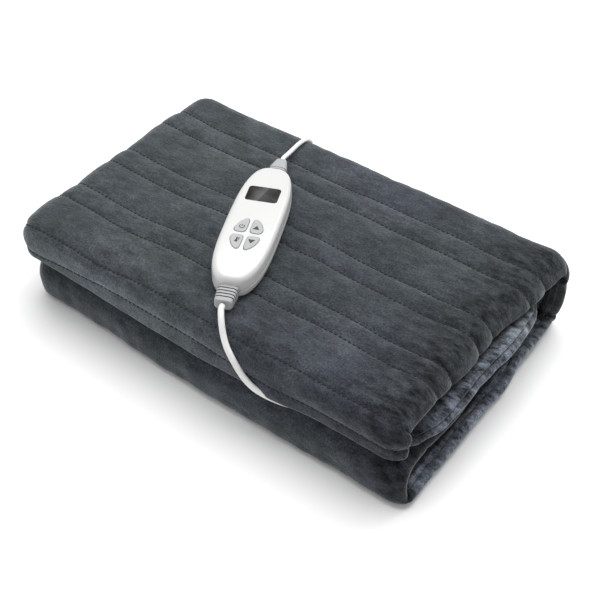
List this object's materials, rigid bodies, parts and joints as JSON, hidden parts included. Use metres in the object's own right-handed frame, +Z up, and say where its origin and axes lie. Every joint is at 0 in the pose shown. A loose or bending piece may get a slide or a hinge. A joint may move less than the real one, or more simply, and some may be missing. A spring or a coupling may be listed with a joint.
{
  "type": "heated throw blanket",
  "caption": "Folded plush electric heated throw with an inline handset that has a display and press keys, a plug-in lead and a tied mains lead.",
  "frame": {"origin": "bottom centre of the folded packet, on the surface it lies on", "axes": "+X along the packet's long side, -Y towards the side where the hem hangs, +Z up"},
  "size_m": [0.42, 0.3255, 0.1123],
  "materials": {
    "velour": "short pile, matt",
    "white_shell": "semi-gloss",
    "key_grey": "satin",
    "relief_grey": "matt",
    "cord_white": "satin",
    "black_gloss": "gloss",
    "tie_black": "matt",
    "board_green": "satin",
    "plain_steel": "plain",
    "plug_brass": "bright",
    "wire_cover": "matt",
    "capacitor_amber": "semi-gloss",
    "fuse_glass": "clear"
  },
  "bodies": {
    "throw": {"cover_layer": "velour", "upper_packet": "velour", "lower_packet": "velour", "heating_wire": "wire_cover", "temperature_sensor": "plain_steel", "blanket_socket": "relief_grey", "connector_body": "white_shell", "connector_relief": "relief_grey", "shell_top": "white_shell", "shell_bottom": "white_shell", "lcd_window": "black_gloss", "lcd_panel": "black_gloss", "lcd_backlight": "white_shell", "circuit_board": "board_green", "fuse": "fuse_glass", "capacitor": "capacitor_amber", "power_switch": "black_gloss", "lead_relief": "relief_grey", "mains_relief": "relief_grey", "blanket_lead": "cord_white", "mains_lead": "cord_white", "mains_lead_end": "cord_white", "mains_hank": "cord_white", "hank_tie": "tie_black", "plug_relief": "cord_white", "plug_body": "cord_white", "socket_pin_1": "plug_brass", "socket_pin_2": "plug_brass", "socket_pin_3": "plug_brass", "plug_blade_1": "plug_brass", "plug_blade_2": "plug_brass", "screw_1": "plain_steel", "screw_2": "plain_steel", "screw_3": "plain_steel", "screw_4": "plain_steel", "switch_power": "plain_steel", "switch_up": "plain_steel", "switch_heat": "plain_steel", "switch_down": "plain_steel"},
    "key_power": {"button_power": "key_grey", "plunger_power": "black_gloss"},
    "key_up": {"button_up": "key_grey", "plunger_up": "black_gloss"},
    "key_heat": {"button_heat": "key_grey", "plunger_heat": "black_gloss"},
    "key_down": {"button_down": "key_grey", "plunger_down": "black_gloss"}
  },
  "joints": [
    {"name": "press_power", "type": "slide", "parent": "throw", "child": "key_power", "axis": [0, 0, -1], "range_m": [0, 0.0006], "stiffness_N_per_m": 400},
    {"name": "press_up", "type": "slide", "parent": "throw", "child": "key_up", "axis": [0, 0, -1], "range_m": [0, 0.0006], "stiffness_N_per_m": 400},
    {"name": "press_heat", "type": "slide", "parent": "throw", "child": "key_heat", "axis": [0, 0, -1], "range_m": [0, 0.0006], "stiffness_N_per_m": 400},
    {"name": "press_down", "type": "slide", "parent": "throw", "child": "key_down", "axis": [0, 0, -1], "range_m": [0, 0.0006], "stiffness_N_per_m": 400}
  ]
}
